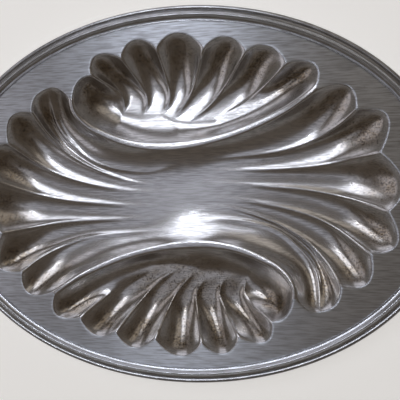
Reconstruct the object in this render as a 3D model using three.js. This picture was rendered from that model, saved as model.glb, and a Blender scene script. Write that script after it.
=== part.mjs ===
// An oval serving platter of silver-plated sheet with shell fluting in an S scroll.
// The dish is one pressing: two scroll bowls, a fluted middle between their crests, and a flat flange.
// A drawn border in two half lengths sits on the flange, and a slotted wire closes the raw edge.
// Frame: origin under the middle of the oval on the table, +X along the oval, +Z up.
import * as THREE from "three";
import { mergeVertices } from "three/addons/utils/BufferGeometryUtils.js";

// Driving dimensions, mm.
const LENGTH = 410; // over the edge bead
const WIDTH = 300; // over the edge bead
const SHEET = 1.2; // the dish's metal
const PLANISH = 0.5; // hammered off under the floor, so that the platter stands flat
const WELL_DEPTH = 21; // flange to floor, inside
const FLUTE_DEPTH = 11; // flange to the floor of a flute at its outer end
const END_REACH = 40; // run of the round wall that closes a flute's outer end
const TROUGH_REACH = 30; // run of the round wall at both ends of a bowl's trough
const CREST_DROP = 14; // flange to the lowest point of a crest
const CREST_LAND = 5; // width of a crest at its lowest point
const HORN_LAND = 3; // width of a crest where it runs out into the flange
const MOUTH_RISE = 0.2; // floor of a bowl's trough to the mouths of its flutes
const EYE_RISE = 1.5; // floor of a bowl's trough to the floor of its eye
const BEAD_DIAMETER = 4.2; // the edge wire
const SLOT_DEPTH = 1.4; // slot in the edge wire for the flange's edge
const BORDER_INSET = 12.4; // outside of the bead to the border's inner toe
const REED_INSET = 8.4; // outside of the bead to the top of the border's reed
const REED_HEIGHT = 3.2; // reed above the flange
const TOE = 0.5; // thickness of the border's inner toe
const FILM = 0.15; // solder film in every soldered joint
const BUTT_GAP = 0.3; // gap where two ends of border or wire meet
const FILLET = 1.8; // width of the solder fillet under the flange

// How full the curves are. 1 is a straight run, and a higher power keeps a curve low for longer.
const CREST_POWER = 2; // a crest's climb from the waist to the flange
const LAND_POWER = 3; // a crest's change of width towards its ends
const FAN_RIDGE_POWER = 1.25; // the climb of a fan ridge to the flange
const BOWL_RIDGE_POWER = 3.3; // the climb of a bowl ridge to the flange
const FAN_FLOOR_POWER = 5; // the climb of the floor of a fan flute
const BOWL_FLOOR_POWER = 4; // the climb of the floor of a bowl flute
const TROUGH_FLOOR_POWER = 1.2; // the climb of the trough's floor towards the horn
const WAIST_POWER = 3; // the hollow across the waist
const FAN_POWER = 8; // the hollow across the fan, level with upturned sides
const WAIST_SHARE = 0.25; // share of the fan over which the one hollow turns into the other
const FLUTE_POWER = 2; // the hollow across a flute
const TROUGH_POWER = 1.3; // the hollow across a bowl's trough
const WALL_POWER = 0.6; // the round wall at a flute's end, where 0.5 is a quarter of an ellipse
const STEEPEST = 0.5; // upward part of the normal where the pressed wall is steepest
const BULGE_POWER = 0.85; // the round outline of a flute's end
const BULGE_START = 0.4; // share of a flute where its rows begin to bend outwards
const FAN_RELIEF = 0.23; // how far a fan ridge stands out of the smooth middle at its outer end
const FAN_LEAN = 0.42; // where the floor of a fan flute lies, between its ridges
const TROUGH_LEAN = 0.6; // where the floor of a trough lies, between the crest and the flutes

// How finely the curved forms are divided.
const HALF_STATIONS = 40; // round half of the oval
const HALF_COLUMNS = 2; // across half of one flute
const END_ROWS = 8; // along the outer part of a flute
const ROW_CROWDING = 1.5; // rows crowd towards a flute's outer end, where its wall is steep
const TROUGH_COLUMNS = 10; // across a bowl's trough
const BEAD_SIDES = 10; // round the wire
const BEAD_JOINT = 44; // station of the wire's butt joint, clear of the border's joints

// The scroll, as hundredths of the half length and half width, for one half of the platter.
// The other half is the same pattern turned by half a turn.
// The crest runs from the bowl's eye to the far horn of the S.
const CREST = [
  [-43.9, 53.3], [-43.4, 46.5], [-39.5, 39.8], [-33.5, 35], [-21.5, 29], [-8, 27.1],
  [8.3, 29.3], [24, 34.7], [39.5, 43.5], [52, 54.2],
];
// A bowl's ridges from their mouths on the trough to their cusps, from the eye outwards.
const BOWL_RIDGES = [
  [[-25.4, 48], [-25, 55], [-29, 61], [-35.6, 65.5]],
  [[-17.3, 45.5], [-15.1, 52], [-16.1, 59.3], [-23.2, 74.3]],
  [[-9, 46.3], [-5.6, 54], [-5.9, 62.7], [-8.8, 78.3]],
  [[-4.5, 42.7], [1.8, 53], [5.7, 62.5], [10, 77]],
  [[2.2, 41], [9.8, 48.3], [17.3, 59], [26.1, 74]],
  [[13, 42], [24.1, 50], [32, 57.3], [41, 67.2]],
];
// The rounded ends of a bowl's flutes, each at the middle of its outline, from the eye outwards.
const BOWL_ENDS = [
  [-40.6, 62.2], [-33.2, 76], [-17.5, 83.3], [-0.2, 85.8], [18.5, 82.5], [34, 76.7], [50.7, 66.3],
];
// The middle fan's ridges from near the waist to their cusps, from the crest's horn downwards.
const FAN_RIDGES = [
  [[19.5, 21], [39, 23.7], [51.2, 28.7], [60, 35.3], [65.6, 42.5]],
  [[14, 13.2], [39, 14.3], [53.7, 15.7], [65, 18.7], [74.1, 21.3]],
  [[13.7, 6.5], [39, 4.3], [52.2, 2.3], [64.9, -1.7], [77.1, -8]],
  [[15.6, -2], [31.2, -4.3], [48.3, -9.7], [60, -17], [71, -29.2]],
  [[15.6, -6.5], [33, -13], [47.3, -22.7], [56, -34.3], [60.5, -46]],
  [[15.6, -13.3], [36.6, -18], [47.8, -29.7], [53.2, -42], [53.4, -59.3]],
];
// The rounded ends of the fan's flutes, in the same order.
const FAN_ENDS = [
  [63, 54.7], [76.6, 39.3], [82.2, 6], [80.2, -24], [70.2, -44], [59, -55], [49, -58.7],
];
// Where the outermost bowl ridges leave the trough, as a share of each arm of the crest.
const EYE_ARM_SHARE = 0.57;
const HORN_ARM_SHARE = 0.29;

// Heights that follow from the driving dimensions.
const FLOOR = SHEET - PLANISH;
const FLANGE = FLOOR + WELL_DEPTH;
const MOUTH = FLOOR + MOUTH_RISE;
const FLUTE_END = FLANGE - FLUTE_DEPTH;

const FLUTES = FAN_ENDS.length;
const MOUTHS = BOWL_RIDGES.length - 1;
const STATIONS = 2 * HALF_STATIONS;
const COLUMNS = 2 * HALF_COLUMNS;
const WAIST_ROWS = MOUTHS * HALF_COLUMNS;
const FAN_ROWS = WAIST_ROWS + END_ROWS;

const mix = THREE.MathUtils.lerp;
const between = (a, b, t) => new THREE.Vector2().lerpVectors(a, b, t);
const turned = (p) => new THREE.Vector2(-p.x, -p.y);
const placed = ([x, y]) => new THREE.Vector2((x * LENGTH) / 200, (y * WIDTH) / 200);

// A point of the oval moved inwards along the oval's own normal.
function oval(angle, inset) {
  const a = LENGTH / 2;
  const b = WIDTH / 2;
  const normal = new THREE.Vector2(Math.cos(angle) / a, Math.sin(angle) / b).normalize();
  return new THREE.Vector2(a * Math.cos(angle), b * Math.sin(angle)).addScaledVector(normal, -inset);
}

// The crest's middle line, and the point of it that lies straight over the middle of the platter.
const crestLine = new THREE.SplineCurve(CREST.map(placed));
const waist = findWaist();

function findWaist() {
  let low = 0;
  let high = 1;
  while (high - low > 1e-9) {
    const share = (low + high) / 2;
    if (crestLine.getPointAt(share).x < 0) low = share;
    else high = share;
  }
  return low;
}

// A share of one arm of the crest, from the waist to the eye (arm -1) or to the horn (arm 1).
function crestShare(arm, t) {
  return arm < 0 ? waist * (1 - t) : waist + (1 - waist) * t;
}

function crestHeight(t) {
  return FLANGE - CREST_DROP * (1 - t ** CREST_POWER);
}

// A point on one edge of the crest's land: side 1 is the bowl's edge, side -1 the middle's.
function crestEdge(arm, t, side) {
  const share = crestShare(arm, t);
  const tangent = crestLine.getTangentAt(share);
  const width = mix(CREST_LAND, HORN_LAND, t ** LAND_POWER);
  const p = crestLine.getPointAt(share);
  return p.add(new THREE.Vector2(-tangent.y, tangent.x).multiplyScalar((side * width) / 2));
}

// The round wall at a flute's end: 0 at the outline, 1 once the wall has reached the floor.
function endWall(distance, reach) {
  const x = Math.min(1, distance / reach);
  return (1 - (1 - x) ** 2) ** WALL_POWER;
}

// The hollow between two ridges: 1 on both of them, 0 along the floor.
function hollow(f, lean, power) {
  return (f < lean ? 1 - f / lean : (f - lean) / (1 - lean)) ** power;
}

function ridgeHeight(from, t, power) {
  return mix(from, FLANGE, t ** power);
}

function floorHeight(from, t, power) {
  return mix(from, FLUTE_END, t ** power);
}

// The share of a flute that a row lies at.
function crowded(x) {
  return 1 - (1 - x) ** ROW_CROWDING;
}

// How far a row is bent outwards, from none well inside a flute to all of it at the outline.
function bent(t) {
  return Math.max(0, (t - BULGE_START) / (1 - BULGE_START)) ** 2;
}

// The round outline of a flute's end: 0 at its cusps, 1 at its middle.
function roundEnd(f) {
  return Math.sin(Math.PI * f) ** BULGE_POWER;
}

// A point across a flute, bent outwards into the round outline of its end.
function across(left, right, end, f, amount) {
  return between(left, right, f).addScaledVector(end, amount * roundEnd(f));
}

// From the middle of a flute's two cusps to the middle of its rounded end.
function bulge(end, cusp, nextCusp) {
  return placed(end).sub(between(cusp, nextCusp, 0.5));
}

// Drops every column of a grid to the flange along its outline, by the round end wall.
function closeEnd(grid, lastRow, reach) {
  for (const row of grid) {
    row.forEach((p, j) => {
      const distance = Math.hypot(p.x - lastRow[j].x, p.y - lastRow[j].y);
      p.z = mix(FLANGE, p.z, endWall(distance, reach));
    });
  }
}

// The flutes of one bowl, from the trough (first row) to their outlines (last row).
function bowlFlutes() {
  const ridges = BOWL_RIDGES.map((points) => new THREE.SplineCurve(points.map(placed)));
  const ends = [];
  for (let k = 0; k < MOUTHS; k++) {
    ends.push(bulge(BOWL_ENDS[k + 1], ridges[k].getPointAt(1), ridges[k + 1].getPointAt(1)));
  }
  const grid = [];
  for (let i = 0; i <= END_ROWS; i++) {
    const t = crowded(i / END_ROWS);
    const row = [];
    for (let j = 0; j <= MOUTHS * COLUMNS; j++) {
      const k = Math.min(MOUTHS - 1, Math.floor(j / COLUMNS));
      const f = j / COLUMNS - k;
      const p = across(ridges[k].getPointAt(t), ridges[k + 1].getPointAt(t), ends[k], f, bent(t));
      const floor = floorHeight(MOUTH, t, BOWL_FLOOR_POWER);
      const z = mix(floor, ridgeHeight(MOUTH, t, BOWL_RIDGE_POWER), hollow(f, 0.5, FLUTE_POWER));
      row.push(new THREE.Vector3(p.x, p.y, z));
    }
    grid.push(row);
  }
  closeEnd(grid, grid[END_ROWS], END_REACH);
  return grid;
}

// A row's share of a fan ridge. Ridge 0 is the crest's horn arm, the last is the other crest's eye arm.
function fanShare(i, k) {
  const facing = mix(HORN_ARM_SHARE, EYE_ARM_SHARE, k / FLUTES);
  if (i <= WAIST_ROWS) return (facing * i) / WAIST_ROWS;
  return mix(facing, 1, crowded((i - WAIST_ROWS) / END_ROWS));
}

// The fan's ridges as functions of their share, from one crest to the other.
function fanRidges() {
  const top = crestEdge(1, 0, -1);
  const inner = FAN_RIDGES.map((points, k) => {
    const root = between(top, turned(top), (k + 1) / FLUTES);
    const curve = new THREE.SplineCurve([root, ...points.map(placed)]);
    return (t) => curve.getPointAt(t);
  });
  return [(t) => crestEdge(1, t, -1), ...inner, (t) => turned(crestEdge(-1, t, -1))];
}

// The fluted middle of one half, from the waist (first row) to its outlines (last row).
function fan() {
  const ridges = fanRidges();
  const ends = FAN_ENDS.map((end, k) => bulge(end, ridges[k](1), ridges[k + 1](1)));
  const grid = [];
  for (let i = 0; i <= FAN_ROWS; i++) {
    const row = [];
    for (let j = 0; j <= FLUTES * COLUMNS; j++) {
      const k = Math.min(FLUTES - 1, Math.floor(j / COLUMNS));
      const f = j / COLUMNS - k;
      const t = fanShare(i, k + f);
      const p = across(ridges[k](fanShare(i, k)), ridges[k + 1](fanShare(i, k + 1)), ends[k], f, bent(t));
      row.push(new THREE.Vector3(p.x, p.y, fanHeight(i, k, f)));
    }
    grid.push(row);
  }
  closeEnd(grid, grid[FAN_ROWS], END_REACH);
  return grid;
}

// Near the waist the fan is one smooth trough between the crests, and the flutes grow out of it.
function fanHeight(i, k, f) {
  const t = fanShare(i, k + f);
  const side = (k + f) / FLUTES;
  const nearCrest = crestHeight(fanShare(i, side < 0.5 ? 0 : FLUTES));
  const floor = floorHeight(FLOOR, t, FAN_FLOOR_POWER);
  const power = mix(WAIST_POWER, FAN_POWER, Math.min(1, t / WAIST_SHARE));
  const trough = mix(floor, nearCrest, Math.abs(1 - 2 * side) ** power);
  const ridge = k + Math.round(f);
  const onCrest = ridge === 0 || ridge === FLUTES;
  const ridgeTop = onCrest ? nearCrest : ridgeHeight(FLOOR, fanShare(i, ridge), FAN_RIDGE_POWER);
  const flute = mix(floor, ridgeTop, hollow(f, FAN_LEAN, FLUTE_POWER));
  return mix(trough, flute, FAN_RELIEF * t ** 2);
}

// A bowl's trough along its crest, from the eye to the far end lobe. Column 0 lies on the crest.
function trough(flutes) {
  const last = MOUTHS * COLUMNS;
  const rows = 2 * FAN_ROWS;
  const eyeEnd = bulge(BOWL_ENDS[0], crestEdge(-1, 1, 1), flutes[END_ROWS][0]);
  const hornEnd = bulge(BOWL_ENDS[FLUTES - 1], crestEdge(1, 1, 1), flutes[END_ROWS][last]);
  const grid = [];
  const shore = []; // the side of the trough that the bowl's flutes share
  for (let i = 0; i <= rows; i++) {
    const arm = i < FAN_ROWS ? -1 : 1;
    const t = arm < 0 ? fanShare(FAN_ROWS - i, FLUTES) : fanShare(i - FAN_ROWS, 0);
    const edge = crestEdge(arm, t, 1);
    const eyeRow = Math.max(0, END_ROWS - i);
    const hornRow = Math.max(0, i - (rows - END_ROWS));
    const mouth = THREE.MathUtils.clamp(i - END_ROWS, 0, last);
    const inner = flutes[eyeRow || hornRow][mouth];
    const eye = crowded(eyeRow / END_ROWS);
    const horn = crowded(hornRow / END_ROWS);
    const hornFloor = floorHeight(FLOOR, horn, TROUGH_FLOOR_POWER);
    const floor = Math.max(mix(FLOOR, FLOOR + EYE_RISE, eye), hornFloor);
    const row = [];
    for (let j = 0; j < TROUGH_COLUMNS; j++) {
      const f = j / TROUGH_COLUMNS;
      const p = across(edge, inner, eyeEnd, f, bent(eye));
      p.addScaledVector(hornEnd, bent(horn) * roundEnd(f));
      const side = f < TROUGH_LEAN ? crestHeight(t) : inner.z;
      const z = mix(floor, side, hollow(f, TROUGH_LEAN, TROUGH_POWER));
      row.push(new THREE.Vector3(p.x, p.y, z));
    }
    grid.push(row);
    shore.push(inner);
  }
  closeEnd(grid, grid[0], TROUGH_REACH);
  closeEnd(grid, grid[rows], TROUGH_REACH);
  return grid.map((row, i) => [...row, shore[i]]);
}

// The land along the top of a crest, between the fluted middle and the bowl.
function crestTop(fanGrid, troughGrid) {
  const outer = FLUTES * COLUMNS;
  return troughGrid.map((row, i) => {
    const edge = i < FAN_ROWS ? fanGrid[FAN_ROWS - i][outer] : fanGrid[i - FAN_ROWS][0];
    const sign = i < FAN_ROWS ? -1 : 1;
    return [new THREE.Vector3(sign * edge.x, sign * edge.y, edge.z), row[0]];
  });
}

// Gathers triangles of the upper face, for this half of the platter and for the other.
function addGrid(triangles, grid) {
  for (let i = 0; i + 1 < grid.length; i++) {
    for (let j = 0; j + 1 < grid[i].length; j++) {
      const [a, b, c, d] = [grid[i][j], grid[i][j + 1], grid[i + 1][j + 1], grid[i + 1][j]];
      triangles.push([a, b, c], [a, c, d]);
    }
  }
}

function upwards([a, b, c]) {
  const turn = (b.x - a.x) * (c.y - a.y) - (b.y - a.y) * (c.x - a.x);
  return turn < 0 ? [a, c, b] : [a, b, c];
}

// The flange: a flat band between the outline of the pattern and the oval edge in the wire's slot.
function flange(outline, edge) {
  const triangles = [];
  const angleOf = (p) => (Math.atan2(p.y, p.x) + 2 * Math.PI) % (2 * Math.PI);
  const along = (list, i) => angleOf(list[i % list.length]) + 2 * Math.PI * Math.floor(i / list.length);
  const inner = startAtZero(outline, angleOf);
  let i = 0;
  let j = 0;
  while (i < inner.length || j < edge.length) {
    const p = inner[i % inner.length];
    const q = edge[j % edge.length];
    const stepInner = j === edge.length || (i < inner.length && along(inner, i + 1) < along(edge, j + 1));
    if (stepInner) triangles.push([p, q, inner[++i % inner.length]]);
    else triangles.push([p, q, edge[++j % edge.length]]);
  }
  return triangles;
}

// Turns a loop so that it starts at its first point past the +X axis, anticlockwise.
function startAtZero(loop, angleOf) {
  let first = 0;
  loop.forEach((p, i) => {
    if (angleOf(p) < angleOf(loop[first])) first = i;
  });
  return [...loop.slice(first), ...loop.slice(0, first)];
}

// The outline of one half, anticlockwise: the fan's ends, then the crest's horn, then the bowl's ends.
function halfOutline(fanGrid, flutes, troughGrid) {
  const fanEnds = [...fanGrid[FAN_ROWS]].reverse();
  const hornEnd = troughGrid[2 * FAN_ROWS];
  const bowlEnds = [...flutes[END_ROWS]].reverse().slice(1);
  const eyeEnd = [...troughGrid[0]].reverse().slice(1);
  return [...fanEnds, ...hornEnd, ...bowlEnds, ...eyeEnd];
}

function fluteDish() {
  const flutes = bowlFlutes();
  const middle = fan();
  const bowl = trough(flutes);
  const half = [];
  [flutes, middle, bowl, crestTop(middle, bowl)].forEach((grid) => addGrid(half, grid));
  const halfTurn = (p) => new THREE.Vector3(-p.x, -p.y, p.z);
  const otherHalf = half.map((triangle) => triangle.map(halfTurn));
  const outline = halfOutline(middle, flutes, bowl);
  const edge = [];
  for (let i = 0; i < STATIONS; i++) {
    const p = oval((2 * Math.PI * i) / STATIONS, BEAD_DIAMETER - SLOT_DEPTH + FILM);
    edge.push(new THREE.Vector3(p.x, p.y, FLANGE));
  }
  const band = flange([...outline, ...outline.map(halfTurn)], edge);
  return sheet([...half, ...otherHalf, ...band].map(upwards), edge);
}

// Closes an upper face into a sheet: the lower face lies under it by the sheet's thickness,
// and is planished flat where it would pass below the table.
function sheet(triangles, edge) {
  const flat = triangles.flatMap((triangle) => triangle.flatMap((p) => p.toArray()));
  const top = new THREE.BufferGeometry();
  top.setAttribute("position", new THREE.Float32BufferAttribute(flat, 3));
  const upper = mergeVertices(top, 1e-3);
  upper.computeVertexNormals();
  const position = upper.attributes.position;
  const count = position.count;
  const points = [];
  for (let i = 0; i < count; i++) points.push(position.getX(i), position.getY(i), position.getZ(i));
  for (let i = 0; i < count; i++) {
    const drop = SHEET / Math.max(STEEPEST, upper.attributes.normal.getZ(i));
    points.push(position.getX(i), position.getY(i), Math.max(0, position.getZ(i) - drop));
  }
  const faces = [];
  const index = upper.index.array;
  for (let i = 0; i < index.length; i += 3) {
    const [a, b, c] = [index[i], index[i + 1], index[i + 2]];
    if (a === b || b === c || c === a) continue;
    faces.push(a, b, c, a + count, c + count, b + count);
  }
  const rim = edge.map((p) => nearest(position, p));
  rim.forEach((a, i) => {
    const b = rim[(i + 1) % rim.length];
    faces.push(a, a + count, b, b, a + count, b + count);
  });
  const solid = new THREE.BufferGeometry();
  solid.setAttribute("position", new THREE.Float32BufferAttribute(points, 3));
  solid.setIndex(faces);
  return solid;
}

function nearest(position, p) {
  let best = 0;
  let least = Infinity;
  for (let i = 0; i < position.count; i++) {
    const away = (position.getX(i) - p.x) ** 2 + (position.getY(i) - p.y) ** 2;
    if (away < least) [best, least] = [i, away];
  }
  return best;
}

// Sweeps a section, given as [inset, height] points, round the oval between two stations.
// A closed sweep runs into its own start. An open one gets a flat end at each butt joint.
function swept(section, first, last, closed = false) {
  const rings = [];
  for (let i = first; i <= last - (closed ? 1 : 0); i++) {
    const angle = (2 * Math.PI * i) / STATIONS + buttTurn(i, first, last, closed);
    rings.push(section.map(([inset, height]) => [...oval(angle, inset).toArray(), height]));
  }
  const n = section.length;
  const faces = [];
  const steps = closed ? rings.length : rings.length - 1;
  for (let i = 0; i < steps; i++) {
    for (let j = 0; j < n; j++) {
      const a = i * n + j;
      const b = i * n + ((j + 1) % n);
      const c = ((i + 1) % rings.length) * n + j;
      const d = ((i + 1) % rings.length) * n + ((j + 1) % n);
      faces.push(a, c, b, b, c, d);
    }
  }
  if (!closed) {
    const outline = section.map(([inset, height]) => new THREE.Vector2(inset, height));
    const backwards = THREE.ShapeUtils.isClockWise(outline);
    const end = (rings.length - 1) * n;
    for (const [a, second, third] of THREE.ShapeUtils.triangulateShape(outline, [])) {
      const [b, c] = backwards ? [third, second] : [second, third];
      faces.push(a, b, c, end + a, end + c, end + b);
    }
  }
  const solid = new THREE.BufferGeometry();
  solid.setAttribute("position", new THREE.Float32BufferAttribute(rings.flat(2), 3));
  solid.setIndex(faces);
  return solid;
}

// The small turn that draws an end back by half of the butt gap.
function buttTurn(i, first, last, closed) {
  if (closed || (i > first && i < last)) return 0;
  const angle = (2 * Math.PI * i) / STATIONS;
  const speed = Math.hypot((LENGTH / 2) * Math.sin(angle), (WIDTH / 2) * Math.cos(angle));
  return ((i === first ? 1 : -1) * BUTT_GAP) / 2 / speed;
}

// The border's section: flat seat on the flange, upright back against the wire, reed, and cove to the toe.
function borderSection() {
  const seat = FLANGE + FILM;
  const back = BEAD_DIAMETER + FILM;
  const reed = FLANGE + REED_HEIGHT;
  const step = mix(FLANGE, reed, 0.4);
  const slope = REED_INSET - back;
  const cove = BORDER_INSET - REED_INSET;
  return [
    [back, seat],
    [back, step],
    [back + 0.5 * slope, mix(step, reed, 0.35)],
    [back + 0.82 * slope, mix(step, reed, 0.88)],
    [REED_INSET, reed],
    [REED_INSET + 0.14 * cove, mix(seat, reed, 0.88)],
    [REED_INSET + 0.38 * cove, mix(seat, reed, 0.5)],
    [REED_INSET + 0.68 * cove, mix(seat, reed, 0.25)],
    [BORDER_INSET, seat + TOE],
    [BORDER_INSET, seat],
  ];
}

// The wire's section: a circle with a slot on the inside that takes the flange's edge.
function beadSection() {
  const r = BEAD_DIAMETER / 2;
  const middle = FLANGE - SHEET / 2;
  const half = SHEET / 2 + FILM;
  const mouth = Math.asin(half / r);
  const section = [];
  for (let i = 0; i <= BEAD_SIDES; i++) {
    const angle = mouth + ((2 * Math.PI - 2 * mouth) * i) / BEAD_SIDES;
    section.push([r + r * Math.cos(angle), middle - r * Math.sin(angle)]);
  }
  const bottom = BEAD_DIAMETER - SLOT_DEPTH;
  section.push([bottom, middle + half], [bottom, middle - half]);
  return section;
}

// The fillet's section: flat against the flange's underside, hollow towards the wire.
function filletSection() {
  const r = BEAD_DIAMETER / 2;
  const under = FLANGE - SHEET;
  const middle = FLANGE - SHEET / 2;
  const reach = r + FILM;
  const angle = Math.PI / 4;
  const touch = [r + reach * Math.cos(angle), middle - reach * Math.sin(angle)];
  const shoulder = r + Math.sqrt(reach ** 2 - (SHEET / 2 + FILM) ** 2) + FILM;
  return [touch, [shoulder, under - FILM], [shoulder + FILLET, under - FILM]];
}

function silver(colour, roughness) {
  return new THREE.MeshStandardMaterial({ color: colour, roughness, metalness: 1 });
}

const platter = new THREE.Group();

function addPiece(name, geometry, material) {
  const mesh = new THREE.Mesh(geometry, material);
  mesh.name = name;
  platter.add(mesh);
}

addPiece("fluted_dish", fluteDish(), silver(0x9a9590, 0.25));
addPiece("border_moulding_upper", swept(borderSection(), 0, HALF_STATIONS), silver(0xa9a7a4, 0.22));
addPiece("border_moulding_lower", swept(borderSection(), HALF_STATIONS, STATIONS), silver(0xa9a7a4, 0.22));
addPiece("edge_bead", swept(beadSection(), BEAD_JOINT, BEAD_JOINT + STATIONS), silver(0xb0aeab, 0.2));
addPiece("solder_run", swept(filletSection(), 0, STATIONS, true), silver(0x8d8f92, 0.45));

export default platter;
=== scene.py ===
# %% [markdown]
# # A fluted serving platter in worn silver plate
#
# The platter is one pressed sheet with a border soldered on and a wire round its edge. The frame holds
# these pieces as plain solids. This lesson gives each of them its fine surface and its finish, and then
# lights the platter and sets a camera over it.

# %% Load the frame
import math

import bpy
import numpy as np
from mathutils import Matrix, Vector
from mathutils.bvhtree import BVHTree
from mathutils.geometry import delaunay_2d_cdt
from mathutils.kdtree import KDTree


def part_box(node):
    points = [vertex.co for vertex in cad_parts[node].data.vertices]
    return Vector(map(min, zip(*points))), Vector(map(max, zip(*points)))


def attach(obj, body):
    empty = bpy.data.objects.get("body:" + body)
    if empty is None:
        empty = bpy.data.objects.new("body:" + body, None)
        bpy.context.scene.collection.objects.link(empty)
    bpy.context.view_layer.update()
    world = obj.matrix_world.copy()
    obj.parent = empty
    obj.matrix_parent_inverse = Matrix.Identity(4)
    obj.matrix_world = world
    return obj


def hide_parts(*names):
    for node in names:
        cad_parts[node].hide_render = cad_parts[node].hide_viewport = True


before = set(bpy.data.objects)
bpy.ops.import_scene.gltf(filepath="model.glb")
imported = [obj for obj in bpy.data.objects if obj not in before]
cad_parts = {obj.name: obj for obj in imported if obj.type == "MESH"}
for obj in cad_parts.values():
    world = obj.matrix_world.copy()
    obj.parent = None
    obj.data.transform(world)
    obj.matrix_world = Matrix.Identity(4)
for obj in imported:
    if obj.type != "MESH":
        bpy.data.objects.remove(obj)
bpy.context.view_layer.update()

MM = 0.001
print("nodes of the frame:", sorted(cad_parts))

# %% [markdown]
# ## The sizes
# The overall sizes are read from the frame, so that the fine surface lies where the solids are. The
# others are the platter's own working sizes, the ones that a maker would set on the press tool.

# %% Sizes of the platter
bead_low, bead_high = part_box("edge_bead")
LENGTH = bead_high.x - bead_low.x
WIDTH = bead_high.y - bead_low.y
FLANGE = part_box("fluted_dish")[1].z
SHEET = 1.2 * MM
FLOOR = SHEET - 0.5 * MM  # the sheet is planished thin where the platter stands
FLUTE_END = FLANGE - 11 * MM
MOUTH = FLOOR + 0.2 * MM
EYE = FLOOR + 1.5 * MM
END_REACH = 40 * MM
TROUGH_REACH = 30 * MM
CREST_DROP = 14 * MM
CREST_LAND = 5 * MM
HORN_LAND = 3 * MM
BEAD_DIAMETER = 4.2 * MM
SLOT_DEPTH = 1.4 * MM
FILM = 0.15 * MM  # solder film in a joint
print(f"platter {LENGTH / MM:.1f} x {WIDTH / MM:.1f} mm, flange at {FLANGE / MM:.1f} mm")

# %% [markdown]
# ## The scroll
# The pattern is an S: a half turn leaves it as it is, so only one half is drawn. Each line is a short
# list of points, in hundredths of the half length and half width, with a smooth curve through them. A
# traced picture would give the same lines with hundreds of points, which nobody could adjust.

# %% The lines of the scroll
# The crest runs from the eye of a bowl, past the waist, to the horn of the S.
CREST = [
    (-43.9, 53.3), (-43.4, 46.5), (-39.5, 39.8), (-33.5, 35), (-21.5, 29), (-8, 27.1),
    (8.3, 29.3), (24, 34.7), (39.5, 43.5), (52, 54.2),
]
# A bowl's ridges run from the trough to their cusps, and are listed from the eye outwards.
BOWL_RIDGES = [
    [(-25.4, 48), (-25, 55), (-29, 61), (-35.6, 65.5)],
    [(-17.3, 45.5), (-15.1, 52), (-16.1, 59.3), (-23.2, 74.3)],
    [(-9, 46.3), (-5.6, 54), (-5.9, 62.7), (-8.8, 78.3)],
    [(-4.5, 42.7), (1.8, 53), (5.7, 62.5), (10, 77)],
    [(2.2, 41), (9.8, 48.3), (17.3, 59), (26.1, 74)],
    [(13, 42), (24.1, 50), (32, 57.3), (41, 67.2)],
]
BOWL_ENDS = [
    (-40.6, 62.2), (-33.2, 76), (-17.5, 83.3), (-0.2, 85.8), (18.5, 82.5), (34, 76.7), (50.7, 66.3),
]
# The middle fan's ridges run from near the waist to their cusps, from the crest's horn downwards.
FAN_RIDGES = [
    [(19.5, 21), (39, 23.7), (51.2, 28.7), (60, 35.3), (65.6, 42.5)],
    [(14, 13.2), (39, 14.3), (53.7, 15.7), (65, 18.7), (74.1, 21.3)],
    [(13.7, 6.5), (39, 4.3), (52.2, 2.3), (64.9, -1.7), (77.1, -8)],
    [(15.6, -2), (31.2, -4.3), (48.3, -9.7), (60, -17), (71, -29.2)],
    [(15.6, -6.5), (33, -13), (47.3, -22.7), (56, -34.3), (60.5, -46)],
    [(15.6, -13.3), (36.6, -18), (47.8, -29.7), (53.2, -42), (53.4, -59.3)],
]
FAN_ENDS = [
    (63, 54.7), (76.6, 39.3), (82.2, 6), (80.2, -24), (70.2, -44), (59, -55), (49, -58.7),
]
EYE_ARM_SHARE = 0.57  # where the outermost bowl ridges leave the trough, on each arm of the crest
HORN_ARM_SHARE = 0.29
FLUTES = len(FAN_ENDS)
MOUTHS = len(BOWL_RIDGES) - 1

# %% Smooth curves through the points
CURVE_STEPS = 60  # between two points


def placed(points):
    return np.asarray(points, float) / 200 * (LENGTH, WIDTH)


def curve(points):
    """Close points along a smooth curve, and each one's share of its length."""
    p = np.vstack([points[:1], points, points[-1:]])
    t = np.linspace(0, 1, CURVE_STEPS, endpoint=False)[:, None]
    spans = []
    for a, b, c, d in zip(p, p[1:], p[2:], p[3:]):
        bend = t**2 * (a - 2.5 * b + 2 * c - 0.5 * d) + 0.5 * t**3 * (3 * (b - c) + d - a)
        spans.append(b + 0.5 * t * (c - a) + bend)
    line = np.vstack([*spans, p[-1:]])
    run = np.concatenate([[0], np.cumsum(np.linalg.norm(np.diff(line, axis=0), axis=1))])
    return line, run / run[-1]


def at(line, share):
    points, shares = line
    return np.stack([np.interp(share, shares, points[:, axis]) for axis in (0, 1)], -1)


def mix(a, b, t):
    return a + (b - a) * t


crest = curve(placed(CREST))
waist = float(np.interp(0, crest[0][:, 0], crest[1]))
print(f"the crest passes the waist at {waist:.3f} of its length")

# %% [markdown]
# ## The pressed surface
# The upper face is a set of grids whose lines follow the ridges, so that every ridge lies on an edge of
# the mesh. A plain height map would do too, but its square grid would leave steps along the ridges.
# First come the rules for the heights: how crests and ridges climb to the flange, how hollow a flute is
# and how its round end closes. Each power says how late a climb comes: 1 is straight, and a high power
# stays low for long and then turns up. Last comes the line that a chaser's punch leaves along a ridge.

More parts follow.
